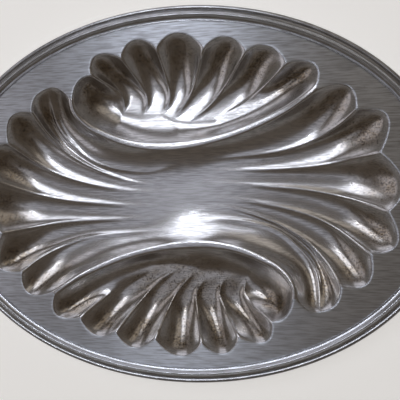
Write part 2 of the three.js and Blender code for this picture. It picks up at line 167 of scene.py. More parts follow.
# %% Rules for the heights
HALF_COLUMNS = 8  # faces across half a flute, closer together towards its ridges
COLUMNS = 2 * HALF_COLUMNS
EVENLY = np.arange(COLUMNS + 1) / COLUMNS
NEAR_RIDGES = 0.7  # how strongly the columns crowd there, from 0 to 1
SHARES = (1 - NEAR_RIDGES) * EVENLY + NEAR_RIDGES * (0.5 - 0.5 * np.cos(np.pi * EVENLY))
END_ROWS = 32
WAIST_ROWS = MOUTHS * HALF_COLUMNS
FAN_ROWS = WAIST_ROWS + END_ROWS
LAND_COLUMNS = 4
ROW_CROWDING = 1.5  # rows lie closer towards the flutes' ends, where the walls are steep
BOWL_RIDGE_POWER = 3.3
BOWL_FLOOR_POWER = 4
FAN_RIDGE_POWER = 1.25
FAN_FLOOR_POWER = 5
TROUGH_FLOOR_POWER = 1.2
TROUGH_POWER = 1.8
WAIST_POWER = 3
FAN_POWER = 8
LAND_POWER = 3
WALL_POWER = 0.6
BULGE_START = 0.4  # share of a flute from which its sides bend out to the round end
BULGE_POWER = 0.85
FAN_RELIEF = 0.23  # how far a fan ridge stands out of the smooth middle at its outer end
FAN_LEAN = 0.42  # where the floor of a fan flute lies, between its ridges
TROUGH_LEAN = 0.8  # where the floor of a trough lies, between the crest and the flutes
END_LEAN = 0.6  # the same at the eye and at the horn
WAIST_SHARE = 0.4  # share of the fan over which its round hollow turns level
PINCH = 1.0 * MM  # how far the chased line along a ridge stands out
PINCH_WIDTH = 2.0 * MM
BOWL_PINCH = (0, 0.3)  # shares of a ridge between which its line grows to full height
FAN_PINCH = (0.05, 0.9)


def crest_height(t):
    return FLANGE - CREST_DROP * (1 - t**2)


def ridge_height(start, t, power):
    return mix(start, FLANGE, t**power)


def floor_height(start, t, power):
    return mix(start, FLUTE_END, t**power)


def hollow(f, lean=0.5, power=2):
    """1 on the ridges at both sides, 0 along the floor between them."""
    return np.where(f < lean, 1 - f / lean, (f - lean) / (1 - lean)) ** power


def pinch(ridges, k, f):
    """The chased line along each ridge, which carries it on where the flutes run out in the floor."""
    width = np.linalg.norm(ridges[:, k + 1] - ridges[:, k], axis=-1)
    return PINCH * np.exp(-((np.minimum(f, 1 - f) * width / PINCH_WIDTH) ** 2))


def eased_in(t, start, end):
    u = np.clip((t - start) / (end - start), 0, 1)
    return u * u * (3 - 2 * u)


def crowded(x):
    return 1 - (1 - x) ** ROW_CROWDING


def bent(t):
    return np.maximum(0, (t - BULGE_START) / (1 - BULGE_START)) ** 2


def round_end(f):
    return np.abs(np.sin(np.pi * f)) ** BULGE_POWER


def close_end(grid, outline, reach):
    """Brings a grid up to the flange along its outline by a round wall."""
    away = np.linalg.norm(grid[..., :2] - outline[..., :2], axis=-1)
    wall = (1 - (1 - np.minimum(1, away / reach)) ** 2) ** WALL_POWER
    grid[..., 2] = mix(FLANGE, grid[..., 2], wall)


def crest_edge(arm, t, side):
    """Points on one edge of the crest's land: arm -1 runs to the eye, side 1 is the bowl's."""
    t = np.asarray(t, float)
    share = waist * (1 - t) if arm < 0 else waist + (1 - waist) * t
    step = at(crest, share + 1e-3) - at(crest, share - 1e-3)
    step /= np.linalg.norm(step, axis=-1, keepdims=True)
    width = mix(CREST_LAND, HORN_LAND, t**LAND_POWER)
    return at(crest, share) + np.stack([-step[..., 1], step[..., 0]], -1) * (side * width / 2)[..., None]


# %% The flutes of a bowl
def bowl_flutes():
    t = crowded(np.arange(END_ROWS + 1) / END_ROWS)[:, None]
    column = np.arange(MOUTHS * COLUMNS + 1)[None, :]
    k = np.minimum(MOUTHS - 1, column // COLUMNS)
    f = SHARES[column - k * COLUMNS]
    ridges = np.stack([at(curve(placed(points)), t[:, 0]) for points in BOWL_RIDGES], 1)
    cusps = ridges[-1]
    ends = placed(BOWL_ENDS[1:-1]) - (cusps[:-1] + cusps[1:]) / 2
    k0 = k[0]
    plan = mix(ridges[:, k0], ridges[:, k0 + 1], f[..., None])
    plan = plan + ends[k0] * (bent(t) * round_end(f))[..., None]
    floor = floor_height(MOUTH, t, BOWL_FLOOR_POWER)
    height = mix(floor, ridge_height(MOUTH, t, BOWL_RIDGE_POWER), hollow(f))
    height = height + pinch(ridges, k0, f) * eased_in(t, *BOWL_PINCH)
    grid = np.dstack([plan, height])
    close_end(grid, grid[-1:].copy(), END_REACH)
    return grid


flutes = bowl_flutes()
print("bowl flutes:", flutes.shape)


# %% The fan of the middle
def fan_share(row, ridge):
    """A row's share of a fan ridge. Ridge 0 is the crest's horn arm, the last the other crest's eye arm."""
    facing = mix(HORN_ARM_SHARE, EYE_ARM_SHARE, ridge / FLUTES)
    outer = mix(facing, 1, crowded(np.clip((row - WAIST_ROWS) / END_ROWS, 0, 1)))
    return np.where(row <= WAIST_ROWS, facing * row / WAIST_ROWS, outer)


def fan():
    row = np.arange(FAN_ROWS + 1)[:, None]
    column = np.arange(FLUTES * COLUMNS + 1)[None, :]
    k = np.minimum(FLUTES - 1, column // COLUMNS)
    f = SHARES[column - k * COLUMNS]
    share = fan_share(row, np.arange(FLUTES + 1)[None, :])
    top = crest_edge(1, 0.0, -1)
    ridges = [crest_edge(1, share[:, 0], -1)]
    for n, points in enumerate(FAN_RIDGES, 1):
        root = mix(top, -top, n / FLUTES)
        ridges.append(at(curve(np.vstack([root, placed(points)])), share[:, n]))
    ridges.append(-crest_edge(-1, share[:, FLUTES], -1))
    ridges = np.stack(ridges, 1)
    cusps = ridges[-1]
    ends = placed(FAN_ENDS) - (cusps[:-1] + cusps[1:]) / 2
    t = fan_share(row, k + f)
    k0 = k[0]
    plan = mix(ridges[:, k0], ridges[:, k0 + 1], f[..., None])
    plan = plan + ends[k0] * (bent(t) * round_end(f))[..., None]
    nearest = k0 + np.round(f)
    line = pinch(ridges, k0, f) * eased_in(t, *FAN_PINCH)
    line = np.where((nearest > 0) & (nearest < FLUTES), line, 0)  # the crests have a land instead
    grid = np.dstack([plan, fan_height(row, k, f, t) + line])
    close_end(grid, grid[-1:].copy(), END_REACH)
    return grid


def fan_height(row, k, f, t):
    """Near the waist one smooth trough lies between the crests, and the flutes grow out of it."""
    side = (k + f) / FLUTES
    near_crest = crest_height(fan_share(row, np.where(side < 0.5, 0, FLUTES)))
    floor = floor_height(FLOOR, t, FAN_FLOOR_POWER)
    power = mix(WAIST_POWER, FAN_POWER, eased_in(t, 0, WAIST_SHARE))
    trough_height = mix(floor, near_crest, np.abs(1 - 2 * side) ** power)
    ridge = k + np.round(f)
    on_crest = (ridge == 0) | (ridge == FLUTES)
    ridge_top = ridge_height(FLOOR, fan_share(row, ridge), FAN_RIDGE_POWER)
    ridge_top = np.where(on_crest, near_crest, ridge_top)
    return mix(trough_height, mix(floor, ridge_top, hollow(f, FAN_LEAN)), FAN_RELIEF * t**2)


middle = fan()
print("fan of the middle:", middle.shape)


# %% The trough of a bowl, from its eye to its horn
def trough():
    last = MOUTHS * COLUMNS
    rows = 2 * FAN_ROWS
    i = np.arange(rows + 1)
    eye_row = np.maximum(0, END_ROWS - i)
    horn_row = np.maximum(0, i - (rows - END_ROWS))
    to_eye = fan_share(np.maximum(0, FAN_ROWS - i), FLUTES)
    to_horn = fan_share(np.maximum(0, i - FAN_ROWS), 0)
    on_eye_arm = (i < FAN_ROWS)[:, None]
    edge = np.where(on_eye_arm, crest_edge(-1, to_eye, 1), crest_edge(1, to_horn, 1))
    edge_height = crest_height(np.where(i < FAN_ROWS, to_eye, to_horn))
    shore = flutes[eye_row + horn_row, np.clip(i - END_ROWS, 0, last)]
    eye = crowded(eye_row / END_ROWS)
    horn = crowded(horn_row / END_ROWS)
    floor = np.maximum(mix(FLOOR, EYE, eye), floor_height(FLOOR, horn, TROUGH_FLOOR_POWER))
    eye_end = placed([BOWL_ENDS[0]])[0] - (edge[0] + flutes[END_ROWS, 0, :2]) / 2
    horn_end = placed([BOWL_ENDS[-1]])[0] - (edge[-1] + flutes[END_ROWS, last, :2]) / 2
    f = SHARES[None, :-1]
    plan = mix(edge[:, None], shore[:, None, :2], f[..., None])
    plan = plan + eye_end * (bent(eye)[:, None] * round_end(f))[..., None]
    plan = plan + horn_end * (bent(horn)[:, None] * round_end(f))[..., None]
    lean = mix(TROUGH_LEAN, END_LEAN, np.sqrt(np.maximum(eye, horn)))[:, None]
    wall = np.where(f < lean, edge_height[:, None], shore[:, None, 2])
    grid = np.dstack([plan, mix(floor[:, None], wall, hollow(f, lean, TROUGH_POWER))])
    close_end(grid, grid[:1].copy(), TROUGH_REACH)
    close_end(grid, grid[-1:].copy(), TROUGH_REACH)
    return np.concatenate([grid, shore[:, None]], 1)


bowl = trough()
print("trough of a bowl:", bowl.shape)


# %% The land along the top of a crest
def crest_top():
    edge = np.concatenate([middle[:0:-1, -1] * (-1, -1, 1), middle[:, 0]])
    f = np.linspace(0, 1, LAND_COLUMNS + 1)[None, :, None]
    return mix(edge[:, None], bowl[:, :1], f)


land = crest_top()
print("land of a crest:", land.shape)

# %% [markdown]
# ## The flange
# Outside the scroll lies a flat band up to the oval edge, which ends inside the slot of the edge wire.
# The scroll's outline turns back on itself beside the eyes, so lines straight outwards would cross it.
# A triangle net between outline and edge has no such trouble, with small triangles where metal bends.

# %% The scroll's grids and their outline
HALF_TURN = np.array((-1, -1, 1))


def upward(grid, first):
    """The faces of a grid, turned so that they look up."""
    rows, columns = grid.shape[:2]
    i = first + np.arange(rows * columns).reshape(rows, columns)
    faces = np.stack([i[:-1, :-1], i[1:, :-1], i[1:, 1:], i[:-1, 1:]], -1).reshape(-1, 4)
    along = np.diff(grid[:, :-1, :2], axis=0)
    across = np.diff(grid[:-1, :, :2], axis=1)
    turn = (along[..., 0] * across[..., 1] - along[..., 1] * across[..., 0]).sum()
    return faces if turn > 0 else faces[:, ::-1]


half = [flutes, middle, bowl, land]
grids = half + [grid * HALF_TURN for grid in half]
starts = np.cumsum([0] + [grid.shape[0] * grid.shape[1] for grid in grids])
scroll_points = np.concatenate([grid.reshape(-1, 3) for grid in grids])
scroll_faces = np.concatenate([upward(grid, start) for grid, start in zip(grids, starts)])
scroll = BVHTree.FromPolygons(scroll_points.tolist(), scroll_faces.tolist())

outline = np.concatenate([
    middle[-1, ::-1], land[-1, 1:], bowl[-1, 1:], flutes[-1, -2::-1], bowl[0, -2::-1], land[0, -2:0:-1],
])
outline = np.concatenate([outline, outline * HALF_TURN])[:, :2]
print("scroll:", len(scroll_faces), "faces, outline of", len(outline), "points")

# %% A triangle net between the outline and the edge
EDGE_POINTS = 480
RINGS = (0.4 * MM, 0.9 * MM, 1.5 * MM, 2.3 * MM)  # rows of points along the outline, where metal bends
NET = 5 * MM
NET_CLEAR = 4 * MM  # how far the wide net stays off the outline
RING_CLEAR = 0.9  # share of its reach by which a ring stays off other stretches of the outline


def oval(angle, inset):
    """Points of the oval, moved inwards along its own normal."""
    a, b = LENGTH / 2, WIDTH / 2
    normal = np.stack([np.cos(angle) / a, np.sin(angle) / b], -1)
    normal /= np.linalg.norm(normal, axis=-1, keepdims=True)
    return np.stack([a * np.cos(angle), b * np.sin(angle)], -1) - inset * normal


def over_scroll(x, y):
    """The scroll's height under a place, or nothing outside it."""
    hit = scroll.ray_cast((x, y, 1), (0, 0, -1))[0]
    return hit.z if hit else None


def clear_points(points, least):
    """The points on the flange that are at least so far from the outline."""
    away = np.sqrt(((points[:, None] - outline[None]) ** 2).sum(-1).min(1))
    kept = points[away > least]
    return np.array([p for p in kept if over_scroll(*p) is None])


def flange_net():
    edge = oval(np.arange(EDGE_POINTS) * 2 * np.pi / EDGE_POINTS, BEAD_DIAMETER - SLOT_DEPTH + FILM)
    step = np.roll(outline, -1, 0) - np.roll(outline, 1, 0)
    outwards = np.stack([step[:, 1], -step[:, 0]], -1) / np.linalg.norm(step, axis=1, keepdims=True)
    rings = [clear_points(outline + outwards * reach, RING_CLEAR * reach) for reach in RINGS]
    x, y = np.meshgrid(np.arange(-LENGTH / 2, LENGTH / 2, NET), np.arange(-WIDTH / 2, WIDTH / 2, NET))
    lattice = np.stack([x.ravel(), y.ravel()], -1)
    within = ((lattice / (LENGTH / 2 - NET, WIDTH / 2 - NET)) ** 2).sum(1) < 1
    lattice = clear_points(lattice[within], NET_CLEAR)
    loops = []
    for start, count in ((0, len(outline)), (len(outline), EDGE_POINTS)):
        loops += [(start + i, start + (i + 1) % count) for i in range(count)]
    net = np.concatenate([outline, edge, *rings, lattice])
    plan, _, triangles, *_ = delaunay_2d_cdt([Vector(p) for p in net], loops, [], 1, 1e-9)
    plan = np.array(plan)
    triangles = np.array(triangles)
    centres = plan[triangles].mean(1)
    triangles = triangles[[over_scroll(*centre) is None for centre in centres]]
    return np.column_stack([plan, np.full(len(plan), FLANGE)]), triangles


flange_points, flange_faces = flange_net()
print("flange:", len(flange_faces), "triangles")

# %% [markdown]
# ## Easing the corners
# Pressed sheet has no sharp corners: the metal bends over each ridge of the tool with a small radius. A
# bevel can't follow ridges that die out in the floor, so the heights are laid on a fine map, smoothed a
# little and read back. A second, broader smoothing tells ridges from hollows, which the tarnish needs.

# %% A map of the heights
CELL = 0.5 * MM
EASE = 0.6 * MM  # about half the radius that a ridge gets
BROAD = 6 * MM
MARGIN = 4 * CELL
map_x = np.arange(-LENGTH / 2 - MARGIN, LENGTH / 2 + MARGIN + CELL, CELL)
map_y = np.arange(-WIDTH / 2 - MARGIN, WIDTH / 2 + MARGIN + CELL, CELL)
heights = np.full((len(map_y), len(map_x)), FLANGE)
for row, y in enumerate(map_y):
    for column, x in enumerate(map_x):
        height = over_scroll(x, y)
        if height is not None:
            heights[row, column] = height
points = np.concatenate([scroll_points, flange_points])
print("map of heights:", heights.shape, f"{heights.min() / MM:.2f} to {heights.max() / MM:.2f} mm")


# %% Smoothing the map and reading it back
def smoothed(heights, radius):
    across = np.fft.rfftfreq(heights.shape[1], CELL)[None, :]
    along = np.fft.fftfreq(heights.shape[0], CELL)[:, None]
    keep = np.exp(-2 * (np.pi * radius) ** 2 * (across**2 + along**2))
    return np.fft.irfft2(np.fft.rfft2(heights) * keep, heights.shape)


def read_map(heights, points):
    """Heights between the map's cells, from a smooth cubic."""
    x = (points[:, 0] - map_x[0]) / CELL
    y = (points[:, 1] - map_y[0]) / CELL
    column, row = np.floor(x).astype(int), np.floor(y).astype(int)
    found = np.zeros(len(points))
    for dy, wy in enumerate(cubic(y - row), -1):
        for dx, wx in enumerate(cubic(x - column), -1):
            found += wy * wx * heights[row + dy, column + dx]
    return found


def cubic(u):
    """The weights of four cells in a row, for a place between the middle two."""
    return (1 - u) ** 3 / 6, (3 * u**3 - 6 * u**2 + 4) / 6, (1 + 3 * u + 3 * u**2 - 3 * u**3) / 6, u**3 / 6


eased = smoothed(heights, EASE)
points[:, 2] = read_map(eased, points)
hollowness = read_map(smoothed(heights, BROAD), points) - points[:, 2]
away = KDTree(len(outline))
for i, (x, y) in enumerate(outline):
    away.insert((x, y, 0), i)
away.balance()
inside = np.array([away.find((x, y, 0))[2] for x, y, z in points])
inside[len(scroll_points):] *= -1
print(f"hollow by up to {hollowness.max() / MM:.1f} mm, proud by up to {-hollowness.min() / MM:.1f} mm")

# %% [markdown]
# ## Sheet metal
# The upper face becomes a sheet in a tree of geometry nodes: a copy of the face is let down by the
# sheet's thickness, and by more where the metal is steep, as thickness counts across the sheet. Where
# the copy would go below height 0 it stays flat there: the platter was planished so that it stands.

# %% One function for nodes
def add_node(tree, kind, settings=None, **links):
    """Adds a node. A link is named after its socket, with spaces as underscores, and may be a value."""
    node = tree.nodes.new(kind)
    for name, value in (settings or {}).items():
        setattr(node, name, value)
    for name, value in links.items():
        name, _, number = name.partition("__")
        named = [socket for socket in node.inputs if socket.name.replace(" ", "_") == name]
        socket = [socket for socket in named if socket.enabled][int(number or 0)]
        if isinstance(value, bpy.types.NodeSocket):
            tree.links.new(value, socket)
        else:
            socket.default_value = value
    return node


def new_tree(name, inputs):
    tree = bpy.data.node_groups.new(name, "GeometryNodeTree")
    tree.interface.new_socket("Geometry", in_out="INPUT", socket_type="NodeSocketGeometry")
    for socket, kind in inputs.items():
        tree.interface.new_socket(socket, in_out="INPUT", socket_type="NodeSocket" + kind)
    tree.interface.new_socket("Geometry", in_out="OUTPUT", socket_type="NodeSocketGeometry")
    return tree, tree.nodes.new("NodeGroupInput").outputs


# %% The tree that makes sheet of a face
WELD = 0.001 * MM


def sheet_tree():
    tree, given = new_tree("pressed sheet", {
        "Thickness": "Float", "Steepest": "Float", "Finish": "Material", "Flange Finish": "Material",
    })
    face = add_node(tree, "GeometryNodeMergeByDistance", Geometry=given["Geometry"], Distance=WELD)
    normal = add_node(tree, "GeometryNodeInputNormal")
    upright = add_node(tree, "ShaderNodeSeparateXYZ", Vector=normal.outputs["Normal"])
    slope = add_node(
        tree, "ShaderNodeMath", {"operation": "MAXIMUM"},
        Value=upright.outputs["Z"], Value__1=given["Steepest"],
    )
    drop = add_node(
        tree, "ShaderNodeMath", {"operation": "DIVIDE"}, Value=given["Thickness"], Value__1=slope.outputs[0]
    )
    kept = tree.nodes.new("GeometryNodeCaptureAttribute")
    kept.capture_items.new("FLOAT", "Drop")
    tree.links.new(face.outputs["Geometry"], kept.inputs["Geometry"])
    tree.links.new(drop.outputs[0], kept.inputs["Drop"])
    shell = add_node(
        tree, "GeometryNodeExtrudeMesh", {"mode": "FACES"},
        Mesh=kept.outputs["Geometry"], Offset_Scale=0.0, Individual=False,
    )
    place = add_node(tree, "GeometryNodeInputPosition")
    where = add_node(tree, "ShaderNodeSeparateXYZ", Vector=place.outputs["Position"])
    fall = add_node(
        tree, "ShaderNodeMath", {"operation": "MINIMUM"},
        Value=kept.outputs["Drop"], Value__1=where.outputs["Z"],
    )
    down = add_node(tree, "ShaderNodeMath", {"operation": "MULTIPLY"}, Value=fall.outputs[0], Value__1=-1.0)
    offset = add_node(tree, "ShaderNodeCombineXYZ", Z=down.outputs[0])
    lowered = add_node(
        tree, "GeometryNodeSetPosition",
        Geometry=shell.outputs["Mesh"], Selection=shell.outputs["Top"], Offset=offset.outputs[0],
    )
    under = add_node(tree, "GeometryNodeFlipFaces", Mesh=lowered.outputs["Geometry"])
    both = tree.nodes.new("GeometryNodeJoinGeometry")
    tree.links.new(kept.outputs["Geometry"], both.inputs["Geometry"])
    tree.links.new(under.outputs["Mesh"], both.inputs["Geometry"])
    closed = add_node(tree, "GeometryNodeMergeByDistance", Geometry=both.outputs["Geometry"], Distance=WELD)
    real = add_node(tree, "GeometryNodeRealizeInstances", Geometry=closed.outputs["Geometry"])
    done = add_node(
        tree, "GeometryNodeSetMaterial", Geometry=real.outputs["Geometry"], Material=given["Finish"]
    )
    inside = add_node(tree, "GeometryNodeInputNamedAttribute", {"data_type": "FLOAT"}, Name="inside")
    outside = add_node(
        tree, "ShaderNodeMath", {"operation": "LESS_THAN"}, Value=inside.outputs["Attribute"], Value__1=0.0
    )
    flange = add_node(
        tree, "GeometryNodeSetMaterial",
        Geometry=done.outputs["Geometry"], Selection=outside.outputs[0], Material=given["Flange Finish"],
    )
    add_node(tree, "NodeGroupOutput", Geometry=flange.outputs["Geometry"])
    return tree


# %% From a tree to a plain mesh
def grown(name, mesh, tree, values):
    """Runs a tree on a mesh with its inputs set, and keeps the result as a plain piece."""
    piece = bpy.data.objects.new(name, mesh)
    bpy.context.scene.collection.objects.link(piece)
    modifier = piece.modifiers.new(tree.name, "NODES")
    modifier.node_group = tree
    for socket in tree.interface.items_tree:
        if socket.in_out == "INPUT" and socket.name in values:
            modifier[socket.identifier] = values[socket.name]
    shown = piece.evaluated_get(bpy.context.evaluated_depsgraph_get())
    made = bpy.data.meshes.new_from_object(shown)
    made.name = name
    piece.modifiers.clear()
    piece.data = made
    return piece


# %% [markdown]
# ## Finishes
# All pieces are silver plate that has been used and cleaned for many years. What is bright was rubbed,
# and what lies low has kept its tarnish, so the tarnish follows the hollowness of the sheet and its
# distance from the scroll's edge, which both were measured above. Painting it by hand would need a
# picture. The flange was polished along the platter, so its gloss is drawn out across the strokes.
# Over the lower bowl's floor the same brown film is painted shade, and the flange's light, cool colour is a
# painted reflection of daylight.

# %% Colours and a new material
def linear(code):
    """An sRGB hex colour as linear light."""
    parts = [int(code[i : i + 2], 16) / 255 for i in (1, 3, 5)]
    return [c / 12.92 if c <= 0.04045 else ((c + 0.055) / 1.055) ** 2.4 for c in parts] + [1]


def new_material(name):
    material = bpy.data.materials.new(name)
    material.use_nodes = True
    tree = material.node_tree
    return material, tree, tree.nodes["Principled BSDF"]


SILVER = linear("#e4e4e6")  # plate that hands and cloths keep bright
SILVER_WITH_PAINTED_DAYLIGHT = linear("#eaeff7")  # the flange, lighter and bluer than plain silver: a painted reflection of cool daylight
BROWN_FILM_AND_SHADE = linear("#a89880")  # plate under its tarnish, and the painted shade over the lower bowl
SPECK = linear("#453524")  # specks where the tarnish went deep
STREAK = linear("#9c9b9c")  # fine lines where the last cleaning left grime


# %% Where the tarnish lies
NOISE_LOW = 0.3  # nearly all values of a noise lie between these
NOISE_HIGH = 0.7
TARNISH_START = 42 * MM  # distances inside the scroll's edge between which the tarnish grows
TARNISH_FULL = 6 * MM
LIP = (0.5 * MM, 4 * MM)  # the lip itself is rubbed bright
HOLLOWS = (-1 * MM, 2.5 * MM)  # from a rubbed ridge to a hollow that no cloth reaches
ON_RIDGES = 0.25  # share of the tarnish that stays on the ridges
BOWL_NARROWED = (0.5, 1, 1)  # lengths along the platter count half, as the bowl is long
PAINTED_SHADE_CENTRE = (3 * MM, -78 * MM, 10 * MM)  # the middle of the lower bowl, with its X halved, over whose floor shade is painted
SHADE_START = 38 * MM
SHADE_FULL = 20 * MM
PAINTED_SHADE_DEPTH = 0.6  # the painted shade on the floor of that bowl, as a share of the brown film
CLOUDS = 9 * MM  # size of the uneven patches
CLOUD_PLAY = (0.6, 1.25)  # what the patches multiply the tarnish by


def tarnish_and_shade_share(tree, place):
    """From 0 on bright plate to about 1 in the ends of the flutes, with painted shade over the lower bowl's
    floor.
    """
    inside = add_node(tree, "ShaderNodeAttribute", {"attribute_name": "inside"}).outputs["Fac"]
    low = add_node(tree, "ShaderNodeAttribute", {"attribute_name": "hollowness"}).outputs["Fac"]
    near_end = add_node(
        tree, "ShaderNodeMapRange", {"interpolation_type": "SMOOTHSTEP"},
        Value=inside, From_Min=TARNISH_START, From_Max=TARNISH_FULL,
    )
    past_lip = add_node(tree, "ShaderNodeMapRange", Value=inside, From_Min=LIP[0], From_Max=LIP[1])
    in_hollow = add_node(
        tree, "ShaderNodeMapRange", Value=low, From_Min=HOLLOWS[0], From_Max=HOLLOWS[1], To_Min=ON_RIDGES
    )
    in_flute = add_node(
        tree, "ShaderNodeMath", {"operation": "MULTIPLY"},
        Value=near_end.outputs[0], Value__1=past_lip.outputs[0],
    )
    kept = add_node(
        tree, "ShaderNodeMath", {"operation": "MULTIPLY"},
        Value=in_flute.outputs[0], Value__1=in_hollow.outputs[0],
    )

    # Painted shade: the brown film is laid over the lower bowl's floor, which lies in shade.
    narrowed = add_node(tree, "ShaderNodeMapping", Vector=place, Scale=BOWL_NARROWED)
    from_bowl = add_node(
        tree, "ShaderNodeVectorMath", {"operation": "DISTANCE"},
        Vector=narrowed.outputs[0], Vector__1=PAINTED_SHADE_CENTRE,
    )
    shade_in_bowl = add_node(
        tree, "ShaderNodeMapRange", {"interpolation_type": "SMOOTHSTEP"},
        Value=from_bowl.outputs["Value"], From_Min=SHADE_START, From_Max=SHADE_FULL, To_Max=PAINTED_SHADE_DEPTH,
    )
    painted_bowl_shade = add_node(
        tree, "ShaderNodeMath", {"operation": "MULTIPLY"},
        Value=shade_in_bowl.outputs[0], Value__1=past_lip.outputs[0],
    )
    most = add_node(
        tree, "ShaderNodeMath", {"operation": "MAXIMUM"},
        Value=kept.outputs[0], Value__1=painted_bowl_shade.outputs[0],
    )

    cloudy = add_node(tree, "ShaderNodeTexNoise", Vector=place, Scale=1 / CLOUDS, Detail=4.0)
    uneven = add_node(
        tree, "ShaderNodeMapRange",
        Value=cloudy.outputs["Fac"], From_Min=NOISE_LOW, From_Max=NOISE_HIGH,
        To_Min=CLOUD_PLAY[0], To_Max=CLOUD_PLAY[1],
    )
    tarnish_plus_shade = add_node(
        tree, "ShaderNodeMath", {"operation": "MULTIPLY"}, Value=most.outputs[0], Value__1=uneven.outputs[0]
    )
    return tarnish_plus_shade.outputs[0]


# %% Worn silver plate
GRAINS = 1.2 * MM  # real specks are finer, but would be lost between the picture's dots
SCUFFS = 1.0 * MM  # across the strokes, drawn coarser for the same reason
ALONG_STROKES = 0.08  # how much slower the scuffs change along the strokes
ROUGHNESS_PLAY = 0.04
BRIGHT_LEVEL = 0.68  # the grain above which specks show on bright plate, and on tarnished plate
DULL_LEVEL = 0.4
SPECK_RISE = 0.16
SPECK_DEPTH = 0.85
SCUFF_START = 0.4
SCUFF_DEPTH = 0.6


def worn_plate(name, silver, brushing, roughness):
    """Cleaned plate: bright metal, a brown film and specks where tarnish has stayed and where shade is
    painted, and fine lines of polishing.
    """
    material, tree, shader = new_material(name)
    shader.inputs["Metallic"].default_value = 1
    shader.inputs["Anisotropic"].default_value = brushing
    spread = add_node(tree, "ShaderNodeTangent", {"direction_type": "UV_MAP", "uv_map": "polish"})
    tree.links.new(spread.outputs["Tangent"], shader.inputs["Tangent"])
    place = add_node(tree, "ShaderNodeTexCoord").outputs["Object"]
    tarnish_plus_shade = tarnish_and_shade_share(tree, place)
    # The brown film is real tarnish in the flutes and painted shade over the lower bowl's floor.
    film_and_shade = add_node(tree, "ShaderNodeMix", {"data_type": "RGBA"}, Factor=tarnish_plus_shade, A=silver, B=BROWN_FILM_AND_SHADE)

    grains = add_node(tree, "ShaderNodeTexNoise", Vector=place, Scale=1 / GRAINS, Detail=3.0)
    level = add_node(tree, "ShaderNodeMapRange", Value=tarnish_plus_shade, To_Min=BRIGHT_LEVEL, To_Max=DULL_LEVEL)
    over = add_node(
        tree, "ShaderNodeMath", {"operation": "SUBTRACT"},
        Value=grains.outputs["Fac"], Value__1=level.outputs[0],
    )
    specks = add_node(
        tree, "ShaderNodeMapRange", Value=over.outputs[0], From_Max=SPECK_RISE, To_Max=SPECK_DEPTH
    )
    speckled = add_node(
        tree, "ShaderNodeMix", {"data_type": "RGBA"},
        Factor=specks.outputs[0], A=film_and_shade.outputs["Result"], B=SPECK,
    )

    drawn_out = add_node(tree, "ShaderNodeMapping", Vector=place, Scale=(ALONG_STROKES, 1, 1))
    scuffs = add_node(
        tree, "ShaderNodeTexNoise", Vector=drawn_out.outputs[0], Scale=1 / SCUFFS, Detail=3.0
    ).outputs["Fac"]
    streaks = add_node(
        tree, "ShaderNodeMapRange",
        Value=scuffs, From_Min=SCUFF_START, From_Max=NOISE_HIGH, To_Max=SCUFF_DEPTH,
    )
    streaked = add_node(
        tree, "ShaderNodeMix", {"data_type": "RGBA"},
        Factor=streaks.outputs[0], A=speckled.outputs["Result"], B=STREAK,
    )
    tree.links.new(streaked.outputs["Result"], shader.inputs["Base Color"])
    worn = add_node(
        tree, "ShaderNodeMapRange", Value=scuffs, From_Min=NOISE_LOW, From_Max=NOISE_HIGH,
        To_Min=roughness - ROUGHNESS_PLAY, To_Max=roughness + ROUGHNESS_PLAY,
    )
    tree.links.new(worn.outputs[0], shader.inputs["Roughness"])
    return material


plate = worn_plate("worn silver plate", SILVER, 0.3, 0.22)  # nearly a mirror, a little blurred by wear
brushed = worn_plate("brushed silver plate", SILVER_WITH_PAINTED_DAYLIGHT, 0.92, 0.46)  # a satin sheen across the strokes, on a colour with painted cool daylight in it
print("finishes of the dish:", plate.name, "and", brushed.name)


# %% Drawn strip and solder
LINE_LENGTH = 14 * MM
LINES_PER_LENGTH = 25.0  # how many times longer than wide a drawing line is
LINE_START = 0.35  # values of the noise between which a line darkens
LINE_FULL = 0.75


def drawn_strip(name, colour, roughness):
    """Plated strip and wire: handled more than the dish and so brighter, with faint lines along them."""
    material, tree, shader = new_material(name)
    shader.inputs["Metallic"].default_value = 1
    along = add_node(tree, "ShaderNodeAttribute", {"attribute_name": "along"}).outputs["Fac"]
    height = add_node(tree, "ShaderNodeTexCoord").outputs["Object"]
    up = add_node(tree, "ShaderNodeSeparateXYZ", Vector=height)
    stretched = add_node(
        tree, "ShaderNodeMath", {"operation": "MULTIPLY"}, Value=up.outputs["Z"], Value__1=LINES_PER_LENGTH
    )
    place = add_node(tree, "ShaderNodeCombineXYZ", X=along, Y=stretched.outputs[0])
    lines = add_node(tree, "ShaderNodeTexNoise", Vector=place.outputs[0], Scale=1 / LINE_LENGTH, Detail=5.0)
    share = add_node(
        tree, "ShaderNodeMapRange", Value=lines.outputs["Fac"], From_Min=LINE_START, From_Max=LINE_FULL
    )
    tint = add_node(
        tree, "ShaderNodeMix", {"data_type": "RGBA"}, Factor=share.outputs[0], A=colour, B=STREAK
    ).outputs["Result"]
    tree.links.new(tint, shader.inputs["Base Color"])
    shader.inputs["Roughness"].default_value = roughness
    return material


def dull_solder():
    """Lead-grey soft solder, which takes no polish and so looks matt beside the plate."""
    material, tree, shader = new_material("dull soft solder")
    shader.inputs["Metallic"].default_value = 1
    shader.inputs["Base Color"].default_value = linear("#8d8f92")
    shader.inputs["Roughness"].default_value = 0.55
    return material


border_finish = drawn_strip("worn border strip", linear("#dfe3e9"), 0.24)
wire_finish = drawn_strip("worn edge wire", linear("#d4d6d9"), 0.24)
solder_finish = dull_solder()
print("finishes of the rim:", border_finish.name, wire_finish.name, solder_finish.name, sep=", ")

